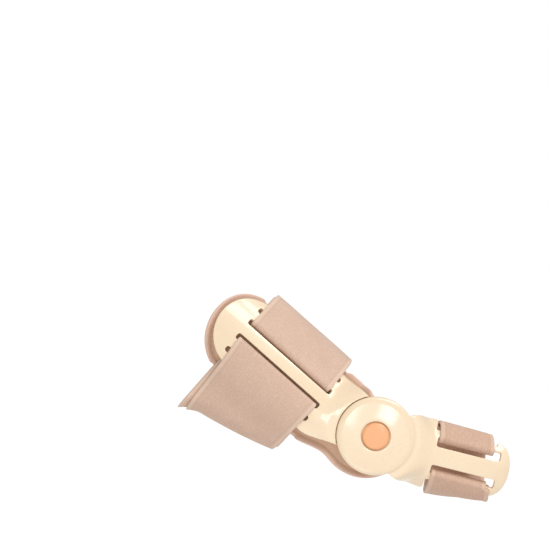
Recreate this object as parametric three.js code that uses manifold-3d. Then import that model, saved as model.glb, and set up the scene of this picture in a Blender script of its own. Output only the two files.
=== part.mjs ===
// Hinged bunion splint for a left foot, shaped as it is worn. Lengths are millimetres, angles degrees.
// +X points to the toes, +Y across the foot to its outer side and +Z up from the sole.
// The origin lies on the hinge axis (the Y axis), where the pad's inner face meets the ball of the foot.
// Every piece is described in the frame of its own plate: x forward along the plate from the hinge, y depth
// towards the foot, z up across the plate. The two groups at the end turn those frames to the foot.
import * as THREE from "three";
import { mergeVertices } from "three/addons/utils/BufferGeometryUtils.js";
import Module from "manifold-3d";

const wasm = await Module();
wasm.setup();

// How the two plates stand to the sole
const rearPitch = 20.2; // the rear plate runs down to the toes
const toePitch = 7; // the toe plate runs up to the toe's tip

// Clearance between pieces that touch
const gap = 0.3;

// Hinge, stacked outwards from the foot: pad, eye, boss, button
const padThickness = 3;
const plateThickness = 2.4;
const bossHeight = 4;
const bossRadius = 19;
const bossBevelWidth = 2.8;
const bossBevelDrop = 0.9;
const eyeRadius = 17.8;
const pinRadius = 3.3;
const pinClearance = 0.1;
const rivetRadius = 6;
const rivetThickness = 0.8;
const buttonRadius = 6.6;
const buttonBevel = 1.1;
const buttonGroove = 0.5;
const buttonSeatDepth = 1.3;
const buttonProud = 0.5;
const hingeSides = 48;

// Rear plate: a flat pattern bent round the inner side of the foot
const rearRadius = 32; // outer face
const rearFace = -8; // depth of the outer face at its nearest to the viewer
const rearTilt = 15; // turns the rail's outer face upwards
const rearRailDrop = 3.1; // rail below the hinge
const rearLength = 95.6; // hinge to rear tip
const rearHalfWidth = 19.7;
const rearBow = 5; // how far the rear tip bends in to the foot
const rearRail = 3.1; // half width
const rearSlot = 3.2;
const rearBar = 5.3;
const rearOuterSlot = 2.9;
const rearSlotFront = 29.5;
const rearSlotLength = 52.8;
const rearRibHalf = 2;
const neckFace = -8.2; // depth of the neck's outer face round the boss
const shoulderStart = bossRadius + 0.4; // flat round the boss up to here
const shoulderEnd = 31; // and fully bent from here
const neckStart = 8; // the neck's end inside the eye
const neckStep = 0.12; // the neck's inner face stands back this much from the eye's
const neckTop = 14.6; // half widths of the neck at that end
const neckBottom = 12.3;

// Toe plate
const toePlateThickness = 2.2;
const toeRadius = 21; // outer face
const toeFace = -6.6; // depth of the outer face behind the neck
const toeFaceTip = -4.4; // and at the strap's front edge
const toeTipCurl = 3; // how far the tip bends in round the toe
const toeRailDrop = 2.2;
const toeLength = 67.4; // hinge to front tip
const toeBaseHalf = 20.2; // half widths of the flat pattern
const toeFrontHalf = 14.5;
const toeNeckHalf = 12.6;
const toeNeckStart = 8;
const toeRail = 4.6; // half width
const toeSlot = 4.9;
const toeBarBase = 3.7;
const toeBarFront = 2.4;
const toeSlotRear = 29.8;
const toeSlotLength = 31.8;
const toeRecessLength = 28.8; // where the bars leave room for the strap
const toeShoulderStart = 21.5;
const toeShoulderEnd = 30;

// Foot pad
const padMargin = 3.2; // beyond the plate's rear tip
const padRearRadius = 26;
const padHalfWidth = 24.6;
const padFrontTopRadius = 18.6; // stays behind the boss
const padFrontRadius = 23.2; // bulges below it
const padFrontBack = 5; // that bulge's centre behind the hinge
const padFrontDrop = 1.7; // and below it
const padInstep = 25.9; // half width above the neck, wider than elsewhere
const padInstepEnd = 31; // where it starts to narrow again
const padFlatTo = 17; // the pad bends sooner than the plate over it

// Straps: one band each, threaded out through both slots and folded back over the bars
const strapThickness = 1.6;
const strapWidth = 49.6;
const strapFront = 31.2; // front edge behind the hinge
const strapCrown = 1; // bulge across the width, between the edges
const strapUpperTab = 19; // steps of the loop that the band is folded back over on the instep
const strapLowerTab = 18; // and under the sole
const strapLowerSkew = 5.7; // the lower tab narrows at its rear edge
const strapUpperSkew = 2.6;
const strapFlare = 5; // the rear edge stands off under the sole
const strapFlareWidth = 10;
const toeStrapWidth = 27.4;
const toeStrapRear = 30.5;
const toeStrapUpperTab = 12;
const toeStrapLowerTab = 13;
const foldSteps = 6; // from a tab's last point to the loop's first, round the bar

// The foot inside the strap, as circles in the plane across the rear plate. Depths are from the plate
// circle's centre, heights from the hinge; the rows are the strap's rear and front edges.
const footSections = [
  { share: 0, soleDrop: 48.4, soleRadius: 9, soleIn: 10.6, outerReach: 45, outerRadius: 13, bulge: 2.5 },
  { share: 1, soleDrop: 35.8, soleRadius: 8, soleIn: 15, outerReach: 57.5, outerRadius: 11, bulge: 2 },
];
// The big toe inside its strap, about the toe plate's circle. A join is where a smaller circle takes over
// from the plate's; farReach is the depth of the loop's far side from the plate circle's centre.
const toeSections = [
  {
    share: 0, topRadius: 8, topJoin: 33, bottomRadius: 12, bottomJoin: 72,
    farReach: 10.6, farRadius: 11, farDrop: 2.1,
  },
  {
    share: 1, topRadius: 5.9, topJoin: 28, bottomRadius: 6.8, bottomJoin: 28,
    farReach: 8.2, farRadius: 9.4, farDrop: 0.4,
  },
];

// Levels and radii that follow from the sizes above
const radians = THREE.MathUtils.degToRad;
const { clamp, lerp, smoothstep } = THREE.MathUtils;
const eyeInner = -(padThickness + gap);
const eyeOuter = eyeInner - plateThickness;
const bossInner = eyeOuter - gap;
const bossFace = bossInner - bossHeight;
const rearUnder = rearRadius - plateThickness;
const strapLine = rearUnder - gap - strapThickness / 2;
const padOuter = strapLine - strapThickness / 2 - gap;
const toeUnder = toeRadius - toePlateThickness;
const toeStrapLine = toeUnder - gap - strapThickness / 2;
const rearCentreZ = -rearRailDrop - rearRadius * Math.sin(radians(rearTilt));
const rearSlotRear = rearSlotFront + rearSlotLength;
const rearBend = rearLength - rearSlotFront;
const plySpacing = strapThickness + gap;

// Depth of the rear plate circle's centre at x
function rearCentreY(x) {
  const along = Math.max(0, -x - rearSlotFront) / rearBend;
  return rearFace + rearRadius + rearBow * along * along;
}

// Depth of the toe plate circle's centre at x
function toeCentreY(x) {
  const along = (x - toeSlotRear) / toeRecessLength;
  const curl = Math.max(0, x - toeSlotRear - toeRecessLength) / (toeLength - toeSlotRear - toeRecessLength);
  return lerp(toeFace, toeFaceTip, clamp(along, 0, 1)) + toeRadius + toeTipCurl * curl * curl;
}

// A point of a sheet that is flat round the hinge and bent to a circle away from it. s runs across the
// sheet from its middle line.
function bentPoint(x, s, form) {
  const middle = form.centreZ + form.radius * Math.sin(form.tilt);
  const flatZ = middle + s;
  const share = smoothstep(Math.hypot(x, flatZ), form.flatTo, form.bentFrom);
  const angle = form.tilt + s / form.radius;
  const y = form.centreY(x) - form.radius * Math.cos(angle);
  const z = form.centreZ + form.radius * Math.sin(angle);
  return new THREE.Vector3(x, lerp(form.flatY, y, share), lerp(flatZ, z, share));
}

// The same point, depth towards the foot below the sheet's outer face
function bentPointAt(x, s, depth, form) {
  const step = 0.01;
  const alongX = bentPoint(x + step, s, form).sub(bentPoint(x - step, s, form));
  const across = bentPoint(x, s + step, form).sub(bentPoint(x, s - step, form));
  const inward = across.cross(alongX).normalize();
  return bentPoint(x, s, form).addScaledVector(inward, depth);
}

const rearForm = {
  radius: rearRadius,
  tilt: radians(rearTilt),
  centreY: rearCentreY,
  centreZ: rearCentreZ,
  flatY: neckFace,
  flatTo: shoulderStart,
  bentFrom: shoulderEnd,
};
const padForm = {
  ...rearForm,
  radius: padOuter,
  flatY: -padThickness,
  flatTo: padFlatTo,
  bentFrom: shoulderEnd - shoulderStart + padFlatTo,
};
const toeForm = {
  radius: toeRadius,
  tilt: 0,
  centreY: toeCentreY,
  centreZ: -toeRailDrop,
  flatY: bossInner - toePlateThickness - neckStep,
  flatTo: toeShoulderStart,
  bentFrom: toeShoulderEnd,
};

// A closed two-layer sheet over a grid of cells: point(i, j, layer) gives its corners, layer 0 outside.
// isHole(i, j) leaves a cell out, and walls close the sheet round every edge.
function gridSheet(columns, rows, point, isHole = () => false) {
  const corners = [];
  const index = (i, j, layer) => (i * (rows + 1) + j) * 2 + layer;
  for (let i = 0; i <= columns; i++)
    for (let j = 0; j <= rows; j++)
      for (const layer of [0, 1]) corners.push(...point(i, j, layer).toArray());
  const filled = (i, j) => i >= 0 && j >= 0 && i < columns && j < rows && !isHole(i, j);
  const faces = [];
  const quad = (a, b, c, d) => faces.push(a, b, c, a, c, d);
  for (let i = 0; i < columns; i++)
    for (let j = 0; j < rows; j++) {
      if (!filled(i, j)) continue;
      const ring = [[i, j], [i + 1, j], [i + 1, j + 1], [i, j + 1]];
      const [a, b, c, d] = ring.map(([p, q]) => index(p, q, 0));
      const [e, f, g, h] = ring.map(([p, q]) => index(p, q, 1));
      quad(a, b, c, d);
      quad(h, g, f, e);
      if (!filled(i, j - 1)) quad(a, e, f, b);
      if (!filled(i + 1, j)) quad(b, f, g, c);
      if (!filled(i, j + 1)) quad(c, g, h, d);
      if (!filled(i - 1, j)) quad(d, h, e, a);
    }
  const geometry = new THREE.BufferGeometry();
  geometry.setAttribute("position", new THREE.Float32BufferAttribute(corners, 3));
  geometry.setIndex(faces);
  return geometry;
}

function toSolid(geometry) {
  const bare = geometry.clone();
  bare.deleteAttribute("normal");
  bare.deleteAttribute("uv");
  const merged = mergeVertices(bare, 1e-4);
  const mesh = new wasm.Mesh({
    numProp: 3,
    vertProperties: merged.attributes.position.array,
    triVerts: new Uint32Array(merged.index.array),
  });
  return new wasm.Manifold(mesh);
}

function toGeometry(solid) {
  const mesh = solid.getMesh();
  const geometry = new THREE.BufferGeometry();
  geometry.setAttribute("position", new THREE.Float32BufferAttribute(mesh.vertProperties, 3));
  geometry.setIndex([...mesh.triVerts]);
  geometry.computeVertexNormals();
  return geometry;
}

// A solid turned round the hinge axis, from a closed ring of [radius, depth] corners
function turned(corners) {
  const ring = [...corners, corners[0]].map(([r, y]) => new THREE.Vector2(r, y));
  return toSolid(new THREE.LatheGeometry(ring, hingeSides));
}

// Values from a to b in equal steps, without the last one
function steps(a, b, count) {
  return Array.from({ length: count }, (_, k) => lerp(a, b, k / count));
}

// Positions along a rounded end: quarter turns bunch them where the outline turns fastest
function roundSteps(centre, radius, count) {
  const last = radians(84);
  return Array.from({ length: count + 1 }, (_, k) => centre + radius * Math.sin((last * k) / count));
}

// Lines across a sheet: the inner ones keep their place until the outline squeezes them
function lineAt(lines, j, low, high, room) {
  if (j === 0) return low;
  if (j === lines.length - 1) return high;
  const limit = lines[j] > 0 ? high : -low;
  return lines[j] * Math.min(1, limit / room);
}

const mirrored = (half) => [...half.slice(1).reverse().map((s) => -s), ...half];

function rearHalfWidthAt(x) {
  const back = -x - (rearLength - rearHalfWidth);
  return back > 0 ? Math.sqrt(Math.max(0, rearHalfWidth ** 2 - back ** 2)) : rearHalfWidth;
}

function rearPlate() {
  const bar = rearRail + rearSlot;
  const outerSlot = bar + rearBar;
  const rim = outerSlot + rearOuterSlot;
  const lines = mirrored([
    0, rearRail / 2, rearRail, rearRail + rearSlot / 2, bar, bar + rearBar / 2, outerSlot,
    outerSlot + rearOuterSlot / 2, rim, (rim + rearHalfWidth) / 2, rearHalfWidth,
  ]);
  const headCentre = rearLength - rearHalfWidth;
  const xs = [
    ...roundSteps(headCentre, rearHalfWidth, 9).filter((x) => x > rearSlotRear + 0.5).reverse(),
    ...steps(rearSlotRear, headCentre, 2),
    ...steps(headCentre, rearSlotFront, 9),
    ...steps(rearSlotFront, neckStart, 10),
    neckStart,
  ].map((x) => -x);
  const neck = (x, half) => lerp(half, rearHalfWidth, smoothstep(-x, neckStart, rearSlotFront));
  const high = (x) => (-x < rearSlotFront ? neck(x, neckTop) : rearHalfWidthAt(x));
  const low = (x) => (-x < rearSlotFront ? -neck(x, neckBottom) : -rearHalfWidthAt(x));
  const room = (rim + rearHalfWidth) / 2 + 0.8;
  const inSlots = (i) => -xs[i] <= rearSlotRear + 1e-6 && -xs[i + 1] >= rearSlotFront - 1e-6;
  const isSlot = (i, j) => {
    const s = Math.abs(lines[j] + lines[j + 1]) / 2;
    return inSlots(i) && ((s > rearRail && s < bar) || (s > outerSlot && s < rim));
  };
  const corner = (i, j, layer) => {
    const s = lineAt(lines, j, low(xs[i]), high(xs[i]), room);
    const away = smoothstep(Math.hypot(xs[i], s - rearRailDrop), shoulderStart, shoulderEnd);
    const neckThickness = eyeInner - neckStep - neckFace;
    return bentPointAt(xs[i], s, layer * lerp(neckThickness, plateThickness, away), rearForm);
  };
  const sheet = gridSheet(xs.length - 1, lines.length - 1, corner, isSlot);
  const ribLines = [-rearRibHalf, 0, rearRibHalf];
  const ribSteps = [...steps(-rearSlotRear, -rearSlotFront, 10), -rearSlotFront];
  const ribDepths = [plateThickness / 2, rearRadius - padOuter - gap];
  const ribCorner = (i, j, layer) => bentPointAt(ribSteps[i], ribLines[j], ribDepths[layer], rearForm);
  const rib = gridSheet(ribSteps.length - 1, ribLines.length - 1, ribCorner);
  const seat = rivetRadius + gap + 0.1;
  const seatFloor = eyeInner - rivetThickness - 2 * gap;
  const eye = turned([
    [pinRadius + pinClearance, eyeOuter - 1],
    [eyeRadius, eyeOuter - 1],
    [eyeRadius, eyeInner],
    [seat, eyeInner],
    [seat, seatFloor],
    [pinRadius + pinClearance, seatFloor],
  ]);
  // the boss sits in a round recess of the neck
  const recess = turned([
    [0, bossFace - 2],
    [bossRadius + gap, bossFace - 2],
    [bossRadius + gap, eyeOuter],
    [0, eyeOuter],
  ]);
  return toGeometry(toSolid(sheet).add(toSolid(rib)).add(eye).subtract(recess));
}

function toeHalfWidthAt(x) {
  const front = toeSlotRear + toeRecessLength - 1.4;
  if (x < toeSlotRear) {
    const turn = 90 * (x - toeNeckStart) / (toeSlotRear - toeNeckStart);
    return lerp(toeNeckHalf, toeBaseHalf, Math.sin(radians(turn)));
  }
  if (x < front) return lerp(toeBaseHalf, toeFrontHalf, (x - toeSlotRear) / (front - toeSlotRear));
  const along = (x - front) / (toeLength - front);
  return toeFrontHalf * Math.sqrt(Math.max(0, 1 - along ** 2.4));
}

function toePlate() {
  const bar = toeRail + toeSlot;
  const recessEnd = toeSlotRear + toeRecessLength;
  const slotEnd = toeSlotRear + toeSlotLength;
  const lines = mirrored([
    0, toeRail / 2, toeRail, toeRail + toeSlot / 2, bar, bar + toeBarBase / 2, bar + toeBarBase, toeBaseHalf,
  ]);
  const edge = lines.length - 2;
  const xs = [
    ...steps(toeNeckStart, toeSlotRear, 11),
    ...steps(toeSlotRear, recessEnd, 9),
    recessEnd,
    ...roundSteps(slotEnd, (toeLength - slotEnd) * 0.99, 6),
  ];
  const room = bar + toeBarBase + 1.5;
  const lineOf = (x, j) => {
    const half = toeHalfWidthAt(x);
    const inBars = x > toeSlotRear - 1e-6 && x < slotEnd + 1e-6;
    if (j === 0 || j === lines.length - 1 || !inBars) return lineAt(lines, j, -half, half, room);
    const share = (x - toeSlotRear) / toeRecessLength;
    const outer = bar + lerp(toeBarBase, toeBarFront, Math.min(1, share));
    const side = Math.sign(lines[j]);
    if (j === 1 || j === edge) return side * outer;
    return Math.abs(lines[j]) > bar ? (side * (bar + outer)) / 2 : lines[j];
  };
  const inside = (i, from, to) => xs[i] >= from - 1e-6 && xs[i + 1] <= to + 1e-6;
  const isOpen = (i, j) => {
    const s = Math.abs(lines[j] + lines[j + 1]) / 2;
    const slot = inside(i, toeSlotRear, slotEnd) && s > toeRail && s < bar;
    return slot || (inside(i, toeSlotRear, recessEnd) && s > bar + toeBarBase);
  };
  const corner = (i, j, layer) => bentPointAt(xs[i], lineOf(xs[i], j), layer * toePlateThickness, toeForm);
  const sheet = gridSheet(xs.length - 1, lines.length - 1, corner, isOpen);
  const seat = buttonRadius + buttonGroove;
  const seatFloor = bossFace + buttonSeatDepth;
  const boss = turned([
    [pinRadius + pinClearance, seatFloor],
    [seat, seatFloor],
    [seat, bossFace],
    [bossRadius - bossBevelWidth, bossFace],
    [bossRadius - bossBevelWidth / 3, bossFace + bossBevelDrop / 3],
    [bossRadius, bossFace + bossBevelDrop * 1.6],
    [bossRadius, bossInner],
    [pinRadius + pinClearance, bossInner],
  ]);
  return toGeometry(toSolid(sheet).add(boss));
}

// Button, pin and rivet head, as one piece
function hingeButton() {
  const under = bossFace + buttonSeatDepth - gap;
  const face = bossFace - buttonProud;
  const rivetOuter = eyeInner - gap / 2 - rivetThickness;
  const pin = turned([
    [0, face],
    [buttonRadius - buttonBevel, face],
    [buttonRadius, face + buttonBevel * 0.6],
    [buttonRadius, under],
    [pinRadius, under],
    [pinRadius, rivetOuter],
    [rivetRadius, rivetOuter],
    [rivetRadius, rivetOuter + rivetThickness],
    [0, rivetOuter + rivetThickness],
  ]);
  return toGeometry(pin);
}

// The pad's edges above and below its middle line at x
function padEdges(x) {
  const middle = padForm.centreZ + padForm.radius * Math.sin(padForm.tilt);
  const rearCentre = rearLength + padMargin - padRearRadius;
  const back = -x - rearCentre;
  const roundRear = back > 0 ? Math.sqrt(Math.max(0, padRearRadius ** 2 - back ** 2)) : padRearRadius;
  const side = Math.min(padHalfWidth, roundRear);
  const fromBulge = x + padFrontBack;
  const bulge = Math.sqrt(Math.max(0, padFrontRadius ** 2 - fromBulge ** 2)) + middle + padFrontDrop;
  const disc = Math.sqrt(Math.max(0, padFrontTopRadius ** 2 - x ** 2)) - middle;
  const share = smoothstep(-x, padFrontBack + 7, shoulderEnd);
  const topShare = smoothstep(-x, padFrontBack + 7, padInstepEnd - 9);
  const instep = lerp(padInstep, padHalfWidth, smoothstep(-x, padInstepEnd, padInstepEnd + 14));
  const topNeck = Math.sqrt(padFrontTopRadius ** 2 - (padFrontBack + 7) ** 2) - middle;
  const bottomNeck = Math.sqrt(padFrontRadius ** 2 - 7 ** 2) + middle + padFrontDrop;
  const inFront = -x < padFrontBack + 7;
  return {
    high: inFront ? disc : Math.min(lerp(topNeck, instep, topShare), back > 0 ? side : instep),
    low: -(inFront ? bulge : Math.min(lerp(bottomNeck, padHalfWidth, share), side)),
  };
}

function footPad() {
  const rearTip = rearLength + padMargin;
  const rearCentre = rearTip - padRearRadius;
  const front = padFrontRadius - padFrontBack;
  const xs = [
    ...roundSteps(rearCentre, padRearRadius, 9).reverse().map((x) => -x),
    ...steps(-rearCentre, -shoulderEnd, 8).slice(1),
    ...steps(-shoulderEnd, -padFrontBack, 9),
    ...roundSteps(-padFrontBack, front + padFrontBack - 0.1, 8),
  ];
  const rows = 16;
  const corner = (i, j, layer) => {
    const { low, high } = padEdges(xs[i]);
    return bentPointAt(xs[i], lerp(low, high, j / rows), layer * padThickness, padForm);
  };
  return gridSheet(xs.length - 1, rows, corner);
}

// A closed ribbon: pathAt(x) gives its middle line across the plate, edges(i) its rear and front x and
// shares the places of its long grid lines between them. lift(i, share) raises it off the middle line.
function ribbon(pathAt, edges, lift, shares) {
  const count = pathAt(edges(0)[0]).length;
  const corner = (i, j, layer) => {
    const share = shares[j];
    const x = lerp(...edges(i), share);
    const line = pathAt(x);
    const before = line[Math.max(0, i - 1)];
    const after = line[Math.min(count - 1, i + 1)];
    const normal = new THREE.Vector2(before.y - after.y, after.x - before.x).normalize();
    const raised = lift(i, share) + (layer - 0.5) * strapThickness;
    return new THREE.Vector3(x, line[i].x + normal.x * raised, line[i].y + normal.y * raised);
  };
  return gridSheet(count - 1, shares.length - 1, corner);
}

// The taut line round a chain of circles, clockwise seen with depth to the right and height up. Each circle
// is {y, z, r, arc, run}: arc counts the steps along it and run those along the straight to the next one,
// with no straight between circles that touch from inside. start and end are outward directions in radians.
function belt(circles, start, end) {
  const points = [];
  const spot = ({ y, z, r }, angle) => new THREE.Vector2(y + r * Math.cos(angle), z + r * Math.sin(angle));
  let from = start;
  circles.forEach((circle, k) => {
    const next = circles[k + 1];
    let to = end;
    if (next) {
      const away = new THREE.Vector2(next.y - circle.y, next.z - circle.z);
      to = away.angle() + Math.acos(clamp((circle.r - next.r) / away.length(), -1, 1));
    }
    while (to > from + 1e-9) to -= 2 * Math.PI;
    while (to < from - 2 * Math.PI) to += 2 * Math.PI;
    const first = k > 0 && circles[k - 1].run === 0 ? 1 : 0;
    for (let n = first; n <= circle.arc; n++) points.push(spot(circle, lerp(from, to, n / circle.arc)));
    for (let n = 1; n < circle.run; n++) points.push(spot(circle, to).lerp(spot(next, to), n / circle.run));
    from = to;
  });
  return points;
}

// A strap's middle line in one plane: folded-back tab, round the bar, the whole loop, and the same again.
// tabs are counted in points of the loop.
function strapLineAt({ circles, foldTop, foldBottom, tabs, raise, barReach }) {
  const plate = circles[0];
  const points = belt(circles, Math.PI - foldTop, Math.PI - foldBottom);
  const last = points.length - 1;
  const outward = (n) => {
    const along = points[Math.min(last, n + 1)].clone().sub(points[Math.max(0, n - 1)]);
    return new THREE.Vector2(-along.y, along.x).normalize();
  };
  const tab = (end, direction, count) => {
    const line = [];
    let reach = 0;
    for (let n = 0; n <= count; n++) {
      const k = end + direction * n;
      if (n > 0) reach += points[k].distanceTo(points[k - direction]);
      const drop = smoothstep(reach, barReach, barReach + raise * 1.8);
      line.push(points[k].clone().addScaledVector(outward(k), lerp(raise, plySpacing, drop)));
    }
    return line;
  };
  // the fold hugs the bar's edge: a quarter turn, across the plate's thickness and a quarter turn
  const fold = (angle, side) => {
    const hug = strapThickness / 2 + gap;
    const turns = [45, 90].map((turn) => radians(turn));
    const quarter = turns.map((turn) => [raise - hug * (1 - Math.cos(turn)), hug * Math.sin(turn)]);
    const back = [...quarter].reverse().map(([lift, reach]) => [raise - lift, reach]);
    return [...quarter, [raise / 2, hug], ...back].map(([lift, reach]) => {
      const radius = plate.r + lift;
      const shifted = angle - (side * reach) / radius;
      return new THREE.Vector2(plate.y - radius * Math.cos(shifted), plate.z + radius * Math.sin(shifted));
    });
  };
  const upper = tab(0, 1, tabs.upper).reverse();
  const lower = tab(last, -1, tabs.lower);
  return [...upper, ...fold(foldTop, 1), ...points, ...fold(foldBottom, -1).reverse(), ...lower];
}

const between = (rows, key, share) => lerp(rows[0][key], rows[1][key], share);

function footStrap() {
  const rear = -(strapFront + strapWidth);
  const bar = rearRail + rearSlot;
  const tabs = { upper: strapUpperTab, lower: strapLowerTab };
  const pathAt = (x) => {
    const share = (x - rear) / strapWidth;
    const size = (key) => between(footSections, key, share);
    const floor = -size("soleDrop");
    const [soleRadius, outerRadius] = [size("soleRadius"), size("outerRadius")];
    const plate = { y: rearCentreY(x), z: rearCentreZ, r: strapLine };
    const outer = { y: plate.y + size("outerReach") - outerRadius, z: floor + outerRadius, r: outerRadius };
    const instep = {
      y: (plate.y + outer.y) / 2,
      z: (plate.z + outer.z) / 2,
      r: (plate.r + outer.r) / 2 + size("bulge"),
    };
    const sole = { y: plate.y - size("soleIn"), z: floor + soleRadius, r: soleRadius };
    return strapLineAt({
      circles: [
        { ...plate, arc: 10, run: 4 },
        { ...instep, arc: 5, run: 4 },
        { ...outer, arc: 10, run: 8 },
        { ...sole, arc: 5, run: 4 },
        { ...plate, arc: 4, run: 0 },
      ],
      foldTop: radians(rearTilt) + bar / rearRadius,
      foldBottom: radians(rearTilt) - bar / rearRadius,
      tabs,
      raise: plateThickness + 2 * gap + strapThickness,
      barReach: (rearHalfWidth - bar) * (strapLine / rearRadius) + 1.5,
    });
  };
  const count = pathAt(rear).length;
  const upperShare = (i) => Math.max(0, 1 - i / tabs.upper);
  const lowerShare = (i) => Math.max(0, 1 - (count - 1 - i) / tabs.lower);
  const edges = (i) => [
    rear + strapLowerSkew * lowerShare(i) + strapUpperSkew * upperShare(i),
    -strapFront - (strapLowerSkew * lowerShare(i)) / 4,
  ];
  const fromTop = (i) => i - tabs.upper;
  const fromBottom = (i) => count - 1 - i - tabs.lower;
  const crown = (i) => {
    const rise = (n) => (n < 0 ? smoothstep(-n, 5, 13) : smoothstep(n, foldSteps + 5, foldSteps + 13));
    return strapCrown * rise(fromTop(i)) * rise(fromBottom(i));
  };
  const flare = (i) => {
    const n = fromBottom(i) < 0 ? -fromBottom(i) : fromBottom(i) - foldSteps;
    return strapFlare * smoothstep(n, 5, 11) * (1 - smoothstep(n, 17, 27));
  };
  const lift = (i, share) => {
    const [low, high] = edges(i);
    const fromRear = lerp(low, high, share) - rear;
    const nearEdge = Math.max(0, 1 - fromRear / strapFlareWidth) ** 1.5;
    // the tabs run the other way, so they lift with the other sign
    const side = fromTop(i) < 0 || fromBottom(i) < 0 ? -1 : 1;
    return side * (crown(i) * (1 - (2 * share - 1) ** 2) + flare(i) * nearEdge);
  };
  return ribbon(pathAt, edges, lift, [0, 0.1, 0.2, 0.42, 0.65, 0.83, 1]);
}

function toeStrap() {
  const bar = toeRail + toeSlot;
  const pathAt = (x) => {
    const share = (x - toeStrapRear) / toeStrapWidth;
    const size = (key) => between(toeSections, key, share);
    const plate = { y: toeCentreY(x), z: -toeRailDrop, r: toeStrapLine };
    const joined = (radius, join) => ({
      y: plate.y - (plate.r - radius) * Math.cos(radians(join)),
      z: plate.z + (plate.r - radius) * Math.sin(radians(join)),
      r: radius,
    });
    const farRadius = size("farRadius");
    const far = { y: plate.y + size("farReach") - farRadius, z: plate.z - size("farDrop"), r: farRadius };
    return strapLineAt({
      circles: [
        { ...plate, arc: 2, run: 0 },
        { ...joined(size("topRadius"), size("topJoin")), arc: 6, run: 4 },
        { ...far, arc: 6, run: 2 },
        { ...joined(size("bottomRadius"), -size("bottomJoin")), arc: 8, run: 0 },
        { ...plate, arc: 6, run: 0 },
      ],
      foldTop: bar / toeRadius,
      foldBottom: -bar / toeRadius,
      tabs: { upper: toeStrapUpperTab, lower: toeStrapLowerTab },
      raise: toePlateThickness + 2 * gap + strapThickness,
      barReach: toeBarBase * (toeStrapLine / toeRadius) + 1,
    });
  };
  return ribbon(pathAt, () => [toeStrapRear, toeStrapRear + toeStrapWidth], () => 0, [0, 0.25, 0.5, 0.75, 1]);
}

const plastic = { color: 0xf7e3c2, roughness: 0.32, metalness: 0 };
const fabric = { color: 0xd9b9a0, roughness: 0.95, metalness: 0 };
const padFabric = { color: 0xd6ad90, roughness: 0.95, metalness: 0 };
const orange = { color: 0xf2a468, roughness: 0.38, metalness: 0 };

function piece(name, geometry, look) {
  const mesh = new THREE.Mesh(geometry, new THREE.MeshStandardMaterial(look));
  mesh.name = name;
  return mesh;
}

const splint = new THREE.Group();
splint.rotation.y = radians(rearPitch);
splint.add(
  piece("rear_plate", rearPlate(), plastic),
  piece("hinge_button", hingeButton(), orange),
  piece("foot_pad", footPad(), padFabric),
  piece("foot_strap", footStrap(), fabric),
);

const toe = new THREE.Group();
toe.rotation.y = -radians(toePitch);
toe.add(piece("toe_plate", toePlate(), plastic), piece("toe_strap", toeStrap(), fabric));

const bunionSplint = new THREE.Group();
bunionSplint.add(splint, toe);

export default bunionSplint;
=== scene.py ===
"""Looks of the hinged bunion splint: moulded plates, button, cloth-covered pad and two folded straps.

Shapes are described in millimetres in the frame of the plate that carries them, as the solids are:
x forward from the hinge, y depth towards the foot, z up across the plate. place() turns them to the
row frame and to metres. Depths on a plate or the pad are measured inwards from its outer face.
"""

import math

import bmesh
import bpy
import numpy as np
from mathutils import Matrix, Vector, noise
from mathutils.geometry import tessellate_polygon
from mathutils.kdtree import KDTree


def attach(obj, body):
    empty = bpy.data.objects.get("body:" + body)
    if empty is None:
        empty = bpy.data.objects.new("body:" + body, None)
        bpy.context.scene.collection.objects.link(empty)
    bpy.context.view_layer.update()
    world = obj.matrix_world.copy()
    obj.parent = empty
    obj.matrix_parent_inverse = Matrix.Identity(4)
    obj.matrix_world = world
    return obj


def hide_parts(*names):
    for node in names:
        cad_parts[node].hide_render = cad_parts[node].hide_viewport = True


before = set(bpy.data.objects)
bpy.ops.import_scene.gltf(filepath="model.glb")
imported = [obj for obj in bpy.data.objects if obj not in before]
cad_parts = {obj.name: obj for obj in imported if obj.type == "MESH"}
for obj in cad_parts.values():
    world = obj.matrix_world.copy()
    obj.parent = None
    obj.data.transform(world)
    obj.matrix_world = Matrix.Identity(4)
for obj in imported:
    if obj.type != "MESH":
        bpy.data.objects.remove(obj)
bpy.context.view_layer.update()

REAR_PITCH = math.radians(20.2)
TOE_PITCH = math.radians(-7)
GAP = 0.3  # between neighbouring pieces
CLEARANCE = 0.1  # round the pin, and past the gap round its flange
MILLIMETRE = 0.001

# Hinge
PAD_T = 3.0
PLATE_T = 2.4
BOSS_H = 4.0
BOSS_R = 19.0
BEVEL_D = 0.9
BEVEL_STEPS = ((0.5, 0.75), (0.0, 1.35))  # in from the rim, and the share of BEVEL_D down
EYE_R = 17.8
PIN_R = 3.3
PIN_HOLE_R = PIN_R + CLEARANCE
RIVET_R = 6.0
RIVET_T = 0.8
BUTTON_R = 6.6
BUTTON_GROOVE = 0.5
BUTTON_SEAT = 1.3
BUTTON_PROUD = 0.5
BUTTON_SIDE = BUTTON_R - 0.12
BUTTON_SWELL = ((0.0, 0.06), (2.5, 0.05), (4.2, 0.02))  # radius, and how far the face rises there
BUTTON_EDGE_W = 1.4
BUTTON_EDGE_D = 1.05
CHAMFER = 0.2
SEAT_EDGE = 0.3
EYE_IN = -(PAD_T + GAP)
EYE_OUT = EYE_IN - PLATE_T
BOSS_IN = EYE_OUT - GAP
BOSS_FACE = BOSS_IN - BOSS_H

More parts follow.
